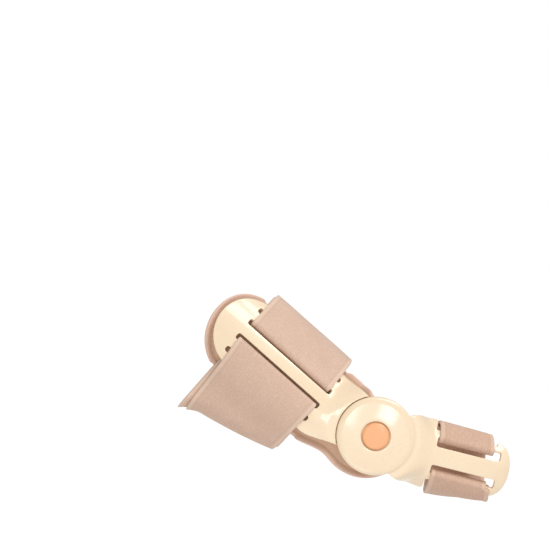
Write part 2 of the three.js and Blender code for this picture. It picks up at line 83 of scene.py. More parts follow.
# Rear plate
REAR_R = 32.0
REAR_FACE = -8.0
REAR_TILT = math.radians(15)
REAR_DROP = 3.1
REAR_LEN = 95.6
REAR_HALF = 19.7
REAR_BOW = 5.0
RAIL = 3.1
SLOT = 3.2
BAR = 5.3
OUTER_SLOT = 2.9
SLOT_FRONT = 29.5
SLOT_LEN = 52.8
RIB = 2.0
NECK_FACE = -8.2
NECK_STEP = 0.12
NECK_START = 8.0
NECK_TOP = 14.6
NECK_LOW = 12.3
NECK_EDGE = 17.5
NECK_RISE = 9.0  # the length over which the neck's upper edge runs out to the full width
BAY_FLOOR_REAR = -22.0
SLOT_TRIM = 0.6
SLOT_CORNER = 0.9
SHOULDER = BOSS_R + 0.4
SHOULDER_END = 31.0

# Toe plate
TOE_T = 2.2
TOE_R = 21.0
TOE_FACE = -6.6
TOE_FACE_TIP = -4.4
TOE_CURL = 3.0
TOE_DROP = 2.2
TOE_LEN = 67.4
TOE_BASE = 20.2
TOE_FRONT = 14.5
TOE_NECK = 12.6
TOE_NECK_START = 8.0
TOE_RAIL = 4.6
TOE_SLOT = 4.9
TOE_BAR_BASE = 3.7
TOE_BAR_FRONT = 2.4
TOE_SLOT_REAR = 29.8
TOE_SLOT_LEN = 31.8
TOE_RECESS = 28.8
TOE_SHOULDER = 28.3
TOE_SLOT_CORNER = 1.0
TIP_OVERLAP = 1.4  # the tip's curve starts that far behind the recess's end
TIP_POWER = 2.4
SHOULDER_CHAMFER = (0.9, 1.2)  # along x and z
RECESS_CHAMFER = (0.7, 0.6)

# Pad
PAD_MARGIN = 3.2
PAD_REAR_R = 26.0
PAD_HALF = 24.6
PAD_TOP_R = 18.6
PAD_FRONT_R = 23.2
PAD_BACK = 5.0
PAD_DROP = 1.7
PAD_JOINT = 7.0  # behind PAD_BACK, where the round front meets the sides
PAD_INSTEP_END = 31.0
PAD_INSTEP_W = 14.0
PAD_STEP = 0.6
PATTERN_SPAN = (5.0, 32.0)
HALVINGS = 24
PAD_FLAT = 17.0

# Straps
CLOTH_T = 1.6
STRAP_W = 49.6
STRAP_FRONT = 31.2
CROWN = 1.0
STRAP_TABS = (19, 18)
LOWER_SKEW = 5.7
UPPER_SKEW = 2.6
FLARE = 5.4  # how far the rear edge stands off under the sole
FLARE_W = 10.0
FLARE_POWER = 1.5
TOE_STRAP_W = 27.4
TOE_STRAP_REAR = 30.5
TOE_TABS = (12, 13)
FOLD_STEPS = 6
FOOT_PLY_DROP = 3.4  # the outer ply comes down from the bar over so many times its height there
TOE_PLY_DROP = 1.8
FOOT_PLY_START = 1.5  # and starts that far past the plate's edge
TOE_PLY_START = 1
LEAN_BACK = 2.2  # of the toe strap over the toe
LEAN_FORWARD = 3.0  # of its front edge under the toe
FINE = 4  # points to one step of the solids' bands

# Steps past a tab over which the bands' forms grow and end again
CROWN_GROWS = (5, 13)
FLARE_GROWS = (5, 11)
FLARE_ENDS = (17, 27)
BACK_GROWS = (0, 7)
BACK_ENDS = (12, 22)
FORWARD_GROWS = (0, 10)
FORWARD_ENDS = (14, 24)

REAR_UNDER = REAR_R - PLATE_T
STRAP_LINE = REAR_UNDER - GAP - CLOTH_T / 2
PAD_OUTER = STRAP_LINE - CLOTH_T / 2 - GAP
TOE_STRAP_LINE = TOE_R - TOE_T - GAP - CLOTH_T / 2
REAR_CENTRE_Z = -REAR_DROP - REAR_R * math.sin(REAR_TILT)
PLY = CLOTH_T + GAP

# Small reliefs that the solids leave out
COLLAR = 0.12  # a low swell round the disc's bay
COLLAR_R = 24.0
COLLAR_W = 2.3
COLLAR_DEPTHS = (2.4, 0.8)  # it fades out through the plate
DOME = 0.5
DOME_RISE = 0.12
CREASE_R = 17.2
CREASE_W = 0.45
CREASE_D = 0.14

# The pad's section: a round tube along its edge, and the filling inside it
RIM_INSET = 1.45
RIM_R = 1.42
RIM_DEPTH = 1.5
FILL_INSET = 2.2
FILL_DEPTHS = (0.75, 2.55)
PAD_DEPTHS = (0.03, 2.98)
OUTER_SIDE = (2.0, 1.0)  # depths over which the outer side takes over from the inner
BARE_BEHIND = (81.6, 84.0)  # the edge shows behind the strap,
BARE_BEFORE = (27.0, 29.6)  # before it
BARE_ROUND = (19.6, 21.6)  # and outside the disc
PAD_WAVE = 0.11
LIP = 1.3
LIP_INSET = 1.1
LIP_W = 1.0
VALLEY = (3.4, 9.0)  # distances from the edge over which it sinks
OUTER_DIP = (0.42, 0.12)  # depth, and how much that varies
INNER_DIP = (0.28, 0.1)
# distances from the edge of a painted highlight on the rolled rim, and of a painted line of shade in the
# crease beside the plate
RIM_PAINTED_HIGHLIGHT = (2.9, 1.9)
PAINTED_SHADE_LINE = 3.2
PAINTED_SHADE_LINE_W = 0.6

# The bands' section, from an edge inwards
HEM_STEPS = (0.45, 0.9, 1.4, 1.9, 2.4, 3.0)
HEM_W = 2.0
BODY_START = 3.6
EDGE_TUCK = 0.12
EDGE_LEVELS = (0.72, 0.25)
EDGE_THIN_W = 0.4
EDGE_THIN = 0.1
SEAM_AT = 2.2
SEAM_W = 0.4
SEAM_THIN = 0.14
HALF_T = CLOTH_T / 2 - 0.02
END_ROUND = 0.35
END_CAP = 0.05
WAVE = 0.16
RIPPLE = 0.05
PUCKER = 0.2
PUCKER_START = 3
PUCKER_FADE = 3.5
SWELL = 0.7

FOOT = {  # at the foot strap's rear and front edges
    "sole_drop": (48.4, 35.8),
    "sole_r": (9.0, 8.0),
    "sole_in": (10.6, 15.0),
    "outer_reach": (45.0, 57.5),
    "outer_r": (13.0, 11.0),
    "bulge": (2.5, 2.0),
}
TOE = {  # at the toe strap's rear and front edges
    "top_r": (8.0, 5.9),
    "top_join": (33.0, 28.0),
    "bottom_r": (12.0, 6.8),
    "bottom_join": (72.0, 28.0),
    "reach": (10.6, 8.2),
    "far_r": (11.0, 9.4),
    "far_drop": (2.1, 0.4),
}


def smooth(v, lo, hi):
    t = np.clip((np.asarray(v, float) - lo) / (hi - lo), 0, 1)
    return t * t * (3 - 2 * t)


def mix(a, b, t):
    return a + (b - a) * t


def rear_centre_y(x):
    along = np.maximum(0, -x - SLOT_FRONT) / (REAR_LEN - SLOT_FRONT)
    return REAR_FACE + REAR_R + REAR_BOW * along**2


def toe_centre_y(x):
    along = np.clip((x - TOE_SLOT_REAR) / TOE_RECESS, 0, 1)
    curl = np.maximum(0, x - TOE_SLOT_REAR - TOE_RECESS) / (TOE_LEN - TOE_SLOT_REAR - TOE_RECESS)
    return mix(TOE_FACE, TOE_FACE_TIP, along) + TOE_R + TOE_CURL * curl**2


REAR_FORM = {
    "r": REAR_R,
    "tilt": REAR_TILT,
    "centre": rear_centre_y,
    "z": REAR_CENTRE_Z,
    "flat_y": NECK_FACE,
    "flat": SHOULDER,
    "bent": SHOULDER_END,
}
PAD_FORM = REAR_FORM | {
    "r": PAD_OUTER,
    "flat_y": -PAD_T,
    "flat": PAD_FLAT,
    "bent": SHOULDER_END - SHOULDER + PAD_FLAT,
}
TOE_FORM = {
    "r": TOE_R,
    "tilt": 0.0,
    "centre": toe_centre_y,
    "z": -TOE_DROP,
    "flat_y": BOSS_IN - TOE_T - NECK_STEP,
    "flat": 21.5,
    "bent": 30.0,
}


def middle(form):
    return form["z"] + form["r"] * math.sin(form["tilt"])


def bend(x, z, depth, form):
    """Points of a flat pattern (x, z, depth under its outer face) on the plate's bent form."""

    def face(x, z):
        share = smooth(np.hypot(x, z), form["flat"], form["bent"])
        angle = form["tilt"] + (z - middle(form)) / form["r"]
        y = form["centre"](x) - form["r"] * np.cos(angle)
        up = form["z"] + form["r"] * np.sin(angle)
        return np.stack([x, mix(form["flat_y"], y, share), mix(z, up, share)], -1)

    step = 0.02
    inward = np.cross(face(x, z + step) - face(x, z - step), face(x + step, z) - face(x - step, z))
    inward /= np.linalg.norm(inward, axis=-1, keepdims=True)
    return face(x, z) + inward * np.asarray(depth)[..., None]


def place(points, pitch):
    """Millimetres in a plate's frame to metres in the row frame."""
    p = np.asarray(points, float) * MILLIMETRE
    c, s = math.cos(pitch), math.sin(pitch)
    return np.stack([p[:, 0] * c + p[:, 2] * s, p[:, 1], -p[:, 0] * s + p[:, 2] * c], -1)


def make(name, points, faces, material):
    """A smooth-shaded piece from points in metres and faces, with its normals turned outwards."""
    mesh = bpy.data.meshes.new(name)
    mesh.from_pydata([tuple(p) for p in points], [], [tuple(int(i) for i in f) for f in faces])
    work = bmesh.new()
    work.from_mesh(mesh)
    bmesh.ops.remove_doubles(work, verts=work.verts, dist=1e-7)
    bmesh.ops.recalc_face_normals(work, faces=work.faces)
    work.to_mesh(mesh)
    work.free()
    mesh.polygons.foreach_set("use_smooth", [True] * len(mesh.polygons))
    obj = bpy.data.objects.new(name, mesh)
    bpy.context.scene.collection.objects.link(obj)
    if material:
        mesh.materials.append(material)
    return obj


def paint(obj, name, values):
    """Two shares from 0 to 1 for each point of a piece, as a colour attribute."""
    layer = obj.data.color_attributes.new(name, "FLOAT_COLOR", "POINT")
    colours = np.zeros((len(values[0]), 4))
    colours[:, 0], colours[:, 1], colours[:, 3] = values[0], values[1], 1
    layer.data.foreach_set("color", colours.ravel())


def slab(outline, holes, near, far):
    """A closed flat slab between two depths, from an outline and holes of (x, z) corners."""
    loops = [outline, *holes]
    flat = [Vector((x, z, 0)) for loop in loops for x, z in loop]
    caps = tessellate_polygon([[Vector((x, z, 0)) for x, z in loop] for loop in loops])
    n = len(flat)
    points = [(p.x, near, p.y) for p in flat] + [(p.x, far, p.y) for p in flat]
    faces = [tuple(f) for f in caps] + [tuple(i + n for i in reversed(f)) for f in caps]
    start = 0
    for loop in loops:
        for k in range(len(loop)):
            a, b = start + k, start + (k + 1) % len(loop)
            faces.append((a, b, b + n, a + n))
        start += len(loop)
    return points, faces


def lathe(ring, sides=128):
    """A closed ring of (radius, depth) corners turned round the hinge axis."""
    points, faces = [], []
    n = len(ring)
    for k in range(sides):
        a = 2 * math.pi * k / sides
        points += [(r * math.cos(a), y, r * math.sin(a)) for r, y in ring]
        for i in range(n):
            j, m = (i + 1) % n, (k + 1) % sides
            faces.append((k * n + i, k * n + j, m * n + j, m * n + i))
    return points, faces


def moulded(parts, voxel, rounds):
    """One smooth skin round all the parts, every edge rounded a little, as points and quads."""
    points, faces = [], []
    for part_points, part_faces in parts:
        base = len(points)
        points += part_points
        faces += [tuple(i + base for i in f) for f in part_faces]
    obj = make("form", points, faces, None)
    remesh = obj.modifiers.new("remesh", "REMESH")
    remesh.mode = "VOXEL"
    remesh.voxel_size = voxel
    soften = obj.modifiers.new("soften", "SMOOTH")
    soften.factor = 0.5
    soften.iterations = rounds
    done = obj.evaluated_get(bpy.context.evaluated_depsgraph_get()).to_mesh()
    co = np.empty(len(done.vertices) * 3)
    done.vertices.foreach_get("co", co)
    quads = [tuple(p.vertices) for p in done.polygons]
    mesh = obj.data
    bpy.data.objects.remove(obj)
    bpy.data.meshes.remove(mesh)
    return co.reshape(-1, 3), quads


def rounded(corners, radius, steps=4):
    """A polygon's corners rounded with that radius."""
    out = []
    n = len(corners)
    for k in range(n):
        p, a, b = (np.array(corners[(k + d) % n], float) for d in (0, -1, 1))
        u, v = (a - p) / np.linalg.norm(a - p), (b - p) / np.linalg.norm(b - p)
        half = math.acos(np.clip(np.dot(u, v), -1, 1)) / 2
        reach = min(radius / math.tan(half), 0.45 * np.linalg.norm(a - p), 0.45 * np.linalg.norm(b - p))
        for t in np.linspace(0, 1, steps):
            out.append(tuple(p + u * reach * (1 - t) ** 2 + v * reach * t**2))
    return out


def slot_hole(x0, x1, a, b, mid, radius):
    """A long hole from x0 to x1, between two heights from the plate's middle line."""
    s0, s1 = sorted((a, b))
    return rounded([(x0, mid + s0), (x1, mid + s0), (x1, mid + s1), (x0, mid + s1)], radius)


def rear_outline():
    """The plate's edge with a round bay for the disc, and the outline of the bay's floor."""
    mid = middle(REAR_FORM)
    neck = np.linspace(-NECK_START, -SLOT_FRONT, 60)
    share = smooth(-neck, NECK_START, SLOT_FRONT)
    top = [(x, mid + mix(NECK_TOP, NECK_EDGE, t)) for x, t in zip(neck, share)]
    for x in np.linspace(-SLOT_FRONT, -SLOT_FRONT - NECK_RISE, 12)[1:]:
        risen = float(smooth(-x, SLOT_FRONT, SLOT_FRONT + NECK_RISE))
        top.append((x, mid + mix(NECK_EDGE, REAR_HALF, risen)))
    low = [(x, mid - mix(NECK_LOW, REAR_HALF, t)) for x, t in zip(neck, share)]
    bay = BOSS_R + GAP
    outside = bay + 0.05
    top_out = [p for p in top if math.hypot(*p) > outside]
    low_out = [p for p in low if math.hypot(*p) > outside]
    a0 = math.atan2(low_out[0][1], low_out[0][0]) + 2 * math.pi
    a1 = math.atan2(top_out[0][1], top_out[0][0])
    arc = [(bay * math.cos(a), bay * math.sin(a)) for a in np.linspace(a0, a1, 40)]
    centre = -(REAR_LEN - REAR_HALF)
    turn = np.linspace(math.pi / 2, 3 * math.pi / 2, 61)
    head = [(centre + REAR_HALF * math.cos(a), mid + REAR_HALF * math.sin(a)) for a in turn]
    floor = [p for p in top if p[0] > BAY_FLOOR_REAR] + [p for p in low if p[0] > BAY_FLOOR_REAR][::-1]
    return arc + top_out + head + low_out[::-1], floor


def rear_plate(material):
    """Slotted shell with a rib behind its rail, and a thick neck with the eye and the disc's bay."""
    mid = middle(REAR_FORM)
    bar = RAIL + SLOT
    outer = bar + BAR
    rear, front = -(SLOT_FRONT + SLOT_LEN), -SLOT_FRONT - SLOT_TRIM
    slots = ((RAIL, bar), (outer, outer + OUTER_SLOT))
    spans = [(side * a, side * b) for side in (1, -1) for a, b in slots]
    holes = [slot_hole(rear, front, a, b, mid, SLOT_CORNER) for a, b in spans]
    rib = slot_hole(rear, -SLOT_FRONT, -RIB, RIB, mid, SLOT_CORNER)
    outline, floor = rear_outline()
    # the neck is drawn as thin as the rest of the plate, and its depths are stretched below
    stretch = (EYE_IN - NECK_STEP - NECK_FACE) / PLATE_T
    eye_out, eye_in = (EYE_OUT - NECK_FACE) / stretch, (EYE_IN - NECK_FACE) / stretch
    seat = RIVET_R + GAP + CLEARANCE
    seat_floor = (EYE_IN - RIVET_T - 2 * GAP - NECK_FACE) / stretch
    eye = [(PIN_HOLE_R, eye_out), (EYE_R, eye_out), (EYE_R, eye_in)]
    eye += [(seat, eye_in), (seat, seat_floor), (PIN_HOLE_R, seat_floor)]
    parts = [
        slab(outline, holes, 0, PLATE_T),
        slab(floor, [], eye_out, PLATE_T),
        slab(rib, [], PLATE_T / 2, REAR_R - PAD_OUTER - GAP),
        lathe(eye),
    ]
    co, quads = moulded(parts, voxel=0.36, rounds=5)
    x, depth, z = co.T
    from_hinge = np.hypot(x, z)
    depth = depth * mix(stretch, 1.0, smooth(from_hinge, SHOULDER, SHOULDER_END))
    swell = np.exp(-(((from_hinge - COLLAR_R) / COLLAR_W) ** 2))
    depth = depth - COLLAR * swell * smooth(depth, *COLLAR_DEPTHS)
    return make("rear_plate_moulded", place(bend(x, z, depth, REAR_FORM), REAR_PITCH), quads, material)


def toe_half(x):
    """Half the toe plate's width there."""
    front = TOE_SLOT_REAR + TOE_RECESS - TIP_OVERLAP
    if x < TOE_SLOT_REAR:
        turn = math.pi / 2 * (x - TOE_NECK_START) / (TOE_SLOT_REAR - TOE_NECK_START)
        return mix(TOE_NECK, TOE_BASE, math.sin(turn))
    if x < front:
        return mix(TOE_BASE, TOE_FRONT, (x - TOE_SLOT_REAR) / (front - TOE_SLOT_REAR))
    return TOE_FRONT * math.sqrt(max(0, 1 - ((x - front) / (TOE_LEN - front)) ** TIP_POWER))


def toe_outline():
    """The toe plate's edge: neck, shoulder, the recess that holds the strap, and the round tip."""
    mid = middle(TOE_FORM)
    recess = TOE_SLOT_REAR + TOE_RECESS
    bar = TOE_RAIL + TOE_SLOT
    neck = np.linspace(TOE_NECK_START, TOE_SHOULDER - SHOULDER_CHAMFER[0], 24)
    side = [(x, toe_half(x)) for x in neck]
    side += [(TOE_SHOULDER, toe_half(TOE_SHOULDER) - SHOULDER_CHAMFER[1])]
    side += [(TOE_SHOULDER, bar + TOE_BAR_BASE), (recess, bar + TOE_BAR_FRONT)]
    side += [(recess, toe_half(recess) - RECESS_CHAMFER[1])]
    start = recess + RECESS_CHAMFER[0]
    reach = TOE_LEN - recess - RECESS_CHAMFER[0]
    tip = [start + reach * math.sin(a) for a in np.linspace(0, math.pi / 2, 24)]
    side += [(x, toe_half(x)) for x in tip[:-1]]
    return [(x, mid + s) for x, s in side] + [(TOE_LEN, mid)] + [(x, mid - s) for x, s in side[::-1]]


def toe_plate(material):
    """Slotted shell with the disc: a faint dome, a crease beside the bevel and the button's seat."""
    mid = middle(TOE_FORM)
    end = TOE_SLOT_REAR + TOE_SLOT_LEN
    bar = TOE_RAIL + TOE_SLOT
    spans = [(side * TOE_RAIL, side * bar) for side in (1, -1)]
    holes = [slot_hole(TOE_SLOT_REAR, end, a, b, mid, TOE_SLOT_CORNER) for a, b in spans]
    base = TOE_FORM["flat_y"]
    face = BOSS_FACE - base
    seat = BUTTON_R + BUTTON_GROOVE
    radii = np.linspace(seat + SEAT_EDGE, CREASE_R, 9)
    dome = [(r, face - DOME_RISE + DOME * (r / BOSS_R) ** 2) for r in radii]
    edge = dome[-1][1]
    boss = [(PIN_HOLE_R, face + BUTTON_SEAT), (seat, face + BUTTON_SEAT), (seat, face + SEAT_EDGE)]
    boss += dome
    boss += [(BOSS_R - inwards, edge + BEVEL_D * share) for inwards, share in BEVEL_STEPS]
    boss += [(BOSS_R, BOSS_IN - base), (PIN_HOLE_R, BOSS_IN - base)]
    parts = [slab(toe_outline(), holes, 0, TOE_T), lathe(boss)]
    co, quads = moulded(parts, voxel=0.32, rounds=4)
    x, depth, z = co.T
    on_face = smooth(depth, face + 1.2, face + 0.6)
    crease = np.exp(-(((np.hypot(x, z) - CREASE_R) / CREASE_W) ** 2)) * on_face
    depth = depth + CREASE_D * crease
    return make("toe_plate_moulded", place(bend(x, z, depth, TOE_FORM), TOE_PITCH), quads, material)


def hinge_button(material):
    """Orange face with a soft edge, its pin and the flange behind."""
    under = BOSS_FACE + BUTTON_SEAT - GAP
    face = BOSS_FACE - BUTTON_PROUD
    rivet = EYE_IN - GAP / 2 - RIVET_T
    ring = [(r, face - rise) for r, rise in BUTTON_SWELL]
    for a in np.linspace(0, math.pi / 2, 9):
        r = BUTTON_SIDE - BUTTON_EDGE_W + BUTTON_EDGE_W * math.sin(a)
        ring.append((r, face + BUTTON_EDGE_D * (1 - math.cos(a))))
    ring += [(BUTTON_SIDE, under - CHAMFER), (BUTTON_SIDE - CHAMFER, under)]
    ring += [(PIN_R, under), (PIN_R, rivet)]
    ring += [(RIVET_R - CHAMFER, rivet), (RIVET_R, rivet + CHAMFER)]
    ring += [(RIVET_R, rivet + RIVET_T - CHAMFER), (RIVET_R - CHAMFER, rivet + RIVET_T)]
    ring += [(0.0, rivet + RIVET_T)]
    points, faces = lathe(ring, sides=96)
    obj = make("hinge_button_moulded", place(points, REAR_PITCH), faces, material)
    obj.data.set_sharp_from_angle(angle=math.radians(38))
    return obj


def outward(loop):
    """Unit directions out of a closed loop of (x, z) points."""
    along = np.roll(loop, -1, 0) - np.roll(loop, 1, 0)
    along /= np.linalg.norm(along, axis=1, keepdims=True)
    area = np.sum(loop[:, 0] * np.roll(loop[:, 1], -1) - np.roll(loop[:, 0], -1) * loop[:, 1])
    return np.stack([along[:, 1], -along[:, 0]], 1) * np.sign(area)


def pattern_height(x, height):
    """Where on the pad's flat pattern a point lies that is that high once bent, found by halving."""
    low, high = PATTERN_SPAN
    for _ in range(HALVINGS):
        half = (low + high) / 2
        bent = bend(np.array([x]), np.array([half]), np.array([0.0]), PAD_FORM)[0, 2]
        low, high = (half, high) if bent < height else (low, half)
    return low


def pad_outline(inset):
    """The pad's edge in the flat pattern, moved in by inset."""
    mid = middle(PAD_FORM)
    centre = -(REAR_LEN + PAD_MARGIN - PAD_REAR_R)
    joint = PAD_BACK + PAD_JOINT
    top_line = math.sqrt(PAD_TOP_R**2 - joint**2)
    low_neck = math.sqrt(PAD_FRONT_R**2 - PAD_JOINT**2) + mid + PAD_DROP
    front = PAD_FRONT_R - PAD_BACK - 0.1
    xs = [-PAD_BACK + (front + PAD_BACK) * math.sin(a) for a in np.linspace(math.pi / 2 * 0.985, 0, 26)]
    xs += list(np.linspace(-PAD_BACK, centre, 60))[1:]
    xs += [centre - PAD_REAR_R * math.sin(a) for a in np.linspace(0, math.pi / 2, 30)][1:]
    upper, lower = [], []
    for x in xs:
        back = centre - x
        side = min(PAD_HALF, math.sqrt(max(0, PAD_REAR_R**2 - max(0, back) ** 2)))
        if -x < joint:
            high = math.sqrt(max(0, PAD_TOP_R**2 - x**2)) - mid
            low = math.sqrt(max(0, PAD_FRONT_R**2 - (x + PAD_BACK) ** 2)) + mid + PAD_DROP
        else:
            instep = pattern_height(max(x, -PAD_INSTEP_END), top_line) - mid
            widened = float(smooth(-x, PAD_INSTEP_END, PAD_INSTEP_END + PAD_INSTEP_W))
            instep = mix(instep, PAD_HALF, widened)
            high = min(instep, side) if back > 0 else instep
            low = min(mix(low_neck, PAD_HALF, float(smooth(-x, joint, SHOULDER_END))), side)
        upper.append((x, mid + high))
        lower.append((x, mid - low))
    loop = upper + lower[::-1][1:]
    kept = [np.array(loop[0])]
    for p in loop[1:]:
        if np.linalg.norm(p - kept[-1]) > PAD_STEP:
            kept.append(np.array(p))
    loop = np.array(kept)
    # the joints between its arcs are rounded off
    for _ in range(6):
        loop = 0.5 * loop + 0.25 * (np.roll(loop, 1, 0) + np.roll(loop, -1, 0))
    return loop - outward(loop) * inset


def tube(loop, depth, radius, sides=12):
    """A closed round tube along a closed flat loop."""
    out = outward(loop)
    points, faces = [], []
    n = len(loop)
    for k in range(n):
        for i in range(sides):
            a = 2 * math.pi * i / sides
            p = loop[k] + out[k] * radius * math.cos(a)
            points.append((p[0], depth + radius * math.sin(a), p[1]))
            j, m = (i + 1) % sides, (k + 1) % n
            faces.append((k * sides + i, k * sides + j, m * sides + j, m * sides + i))
    return points, faces


def foot_pad(material):
    """A thin foam pad in knitted cloth: a rolled rim all round and a shallow valley inside it."""
    filling = [tuple(p) for p in pad_outline(FILL_INSET)]
    parts = [slab(filling, [], *FILL_DEPTHS), tube(pad_outline(RIM_INSET), RIM_DEPTH, RIM_R)]
    co, quads = moulded(parts, voxel=0.45, rounds=5)
    x, depth, z = co.T
    edge_loop = pad_outline(0.0)
    tree = KDTree(len(edge_loop))
    for k, p in enumerate(edge_loop):
        tree.insert((p[0], p[1], 0), k)
    tree.balance()
    edge = np.array([tree.find((a, b, 0))[2] for a, b in zip(x, z)])
    outer = smooth(depth, *OUTER_SIDE)
    # where neither strap nor disc lies over the edge, it rolls outwards into a lip
    bare = np.maximum(smooth(-x, *BARE_BEHIND), 1 - smooth(-x, *BARE_BEFORE))
    bare = bare * smooth(np.hypot(x, z), *BARE_ROUND)
    lip = LIP * np.exp(-(((edge - LIP_INSET) / LIP_W) ** 2)) * bare * outer
    filled = smooth(edge, *VALLEY)
    wave = np.array([noise.noise((a * PAD_WAVE, b * PAD_WAVE, 3.0)) for a, b in zip(x, z)])
    outside = filled * outer * (OUTER_DIP[0] + OUTER_DIP[1] * wave)
    inside = filled * (1 - outer) * (INNER_DIP[0] + INNER_DIP[1] * wave)
    depth = np.clip(depth - outside + inside, *PAD_DEPTHS) - lip
    obj = make("foot_pad_cloth", place(bend(x, z, depth, PAD_FORM), REAR_PITCH), quads, material)
    # painted on the outer side: a highlight on the rolled rim, and a line of shade in the crease beside
    # the plate
    dark = np.exp(-(((edge - PAINTED_SHADE_LINE) / PAINTED_SHADE_LINE_W) ** 2))
    paint(obj, "rim", (smooth(edge, *RIM_PAINTED_HIGHLIGHT) * outer, dark * outer))
    return obj


def belt(circles, start, end):
    """The taut line round circles, clockwise with depth right and height up.

    Each is (y, z, r, arc, run): arc and run are the steps round it and on to the next one.
    """
    points = []
    angle = start
    for k, (y, z, r, arc, run) in enumerate(circles):
        last = end
        if k + 1 < len(circles):
            y2, z2, r2 = circles[k + 1][:3]
            away = math.hypot(y2 - y, z2 - z)
            last = math.atan2(z2 - z, y2 - y) + math.acos(max(-1, min(1, (r - r2) / away)))
        while last > angle + 1e-9:
            last -= 2 * math.pi
        while last < angle - 2 * math.pi:
            last += 2 * math.pi
        first = 1 if k and circles[k - 1][4] == 0 else 0
        for n in range(first, arc * FINE + 1):
            a = mix(angle, last, n / (arc * FINE))
            points.append((y + r * math.cos(a), z + r * math.sin(a)))
        if run:
            a0 = np.array((y + r * math.cos(last), z + r * math.sin(last)))
            a1 = np.array((y2 + r2 * math.cos(last), z2 + r2 * math.sin(last)))
            points += [tuple(mix(a0, a1, n / (run * FINE))) for n in range(1, run * FINE)]
        angle = last
    return np.array(points)


def strap_line(circles, fold_top, fold_bottom, tabs, raised, reach, drop_share):
    """Tab, fold, loop, fold, tab: the band's middle line in one plane."""
    points = belt(circles, math.pi - fold_top, math.pi - fold_bottom)
    along = np.gradient(points, axis=0)
    along /= np.linalg.norm(along, axis=1, keepdims=True)
    out = np.stack([-along[:, 1], along[:, 0]], 1)
    travel = np.r_[0, np.cumsum(np.linalg.norm(np.diff(points, axis=0), axis=1))]

    def tab(count, from_end):
        index = np.arange(count * FINE + 1)
        run = travel[index]
        if from_end:
            index = len(points) - 1 - index
            run = travel[-1] - travel[index]
        drop = smooth(run, reach, reach + raised * drop_share)
        return points[index] + out[index] * mix(raised, PLY, drop)[:, None]

    y, z, r = circles[0][:3]
    hug = CLOTH_T / 2 + GAP
    quarter = hug * math.pi / 2
    whole = 2 * quarter + raised - 2 * hug

    def fold(angle, side):
        """Round the bar's edge: a quarter turn, across the plate's thickness and a quarter turn."""
        run = whole * np.arange(1, FOLD_STEPS * FINE) / (FOLD_STEPS * FINE)
        first = np.minimum(run, quarter) / hug
        second = np.maximum(run - (whole - quarter), 0) / hug
        straight = np.clip(run - quarter, 0, raised - 2 * hug)
        lift = raised - hug * (1 - np.cos(first)) - straight - hug * np.sin(second)
        out_by = hug * np.sin(first) - hug * (1 - np.cos(second))
        a = angle - side * out_by / (r + lift)
        return np.stack([y - (r + lift) * np.cos(a), z + (r + lift) * np.sin(a)], 1)

    upper, lower = tab(tabs[0], False)[::-1], tab(tabs[1], True)
    return np.concatenate([upper, fold(fold_top, 1), points, fold(fold_bottom, -1)[::-1], lower])


def foot_line(x):
    """The foot strap's middle line in the plane across the rear plate at x."""
    share = (x + STRAP_FRONT + STRAP_W) / STRAP_W
    size = {k: mix(*v, share) for k, v in FOOT.items()}
    y = float(rear_centre_y(x))
    floor = -size["sole_drop"]
    plate = (y, REAR_CENTRE_Z, STRAP_LINE)
    outer = (y + size["outer_reach"] - size["outer_r"], floor + size["outer_r"], size["outer_r"])
    halfway = tuple((a + b) / 2 for a, b in zip(plate, outer))
    instep = (*halfway[:2], halfway[2] + size["bulge"])
    sole = (y - size["sole_in"], floor + size["sole_r"], size["sole_r"])
    bar = (RAIL + SLOT) / REAR_R
    circles = [(*plate, 10, 4), (*instep, 5, 4), (*outer, 10, 8), (*sole, 5, 4), (*plate, 4, 0)]
    reach = (REAR_HALF - RAIL - SLOT) * (STRAP_LINE / REAR_R) + FOOT_PLY_START
    raised = PLATE_T + 2 * GAP + CLOTH_T
    top, bottom = REAR_TILT + bar, REAR_TILT - bar
    return strap_line(circles, top, bottom, STRAP_TABS, raised, reach, FOOT_PLY_DROP)


def toe_line(x):
    """The toe strap's middle line in the plane across the toe plate at x."""
    share = (x - TOE_STRAP_REAR) / TOE_STRAP_W
    size = {k: mix(*v, share) for k, v in TOE.items()}
    y = float(toe_centre_y(x))

    def joined(r, degrees):
        a = math.radians(degrees)
        return y - (TOE_STRAP_LINE - r) * math.cos(a), -TOE_DROP + (TOE_STRAP_LINE - r) * math.sin(a), r

    plate = (y, -TOE_DROP, TOE_STRAP_LINE)
    far = (y + size["reach"] - size["far_r"], -TOE_DROP - size["far_drop"], size["far_r"])
    circles = [
        (*plate, 2, 0),
        (*joined(size["top_r"], size["top_join"]), 6, 4),
        (*far, 6, 2),
        (*joined(size["bottom_r"], -size["bottom_join"]), 8, 0),
        (*plate, 6, 0),
    ]
    bar = (TOE_RAIL + TOE_SLOT) / TOE_R
    reach = TOE_BAR_BASE * (TOE_STRAP_LINE / TOE_R) + TOE_PLY_START
    raised = TOE_T + 2 * GAP + CLOTH_T
    return strap_line(circles, bar, -bar, TOE_TABS, raised, reach, TOE_PLY_DROP)


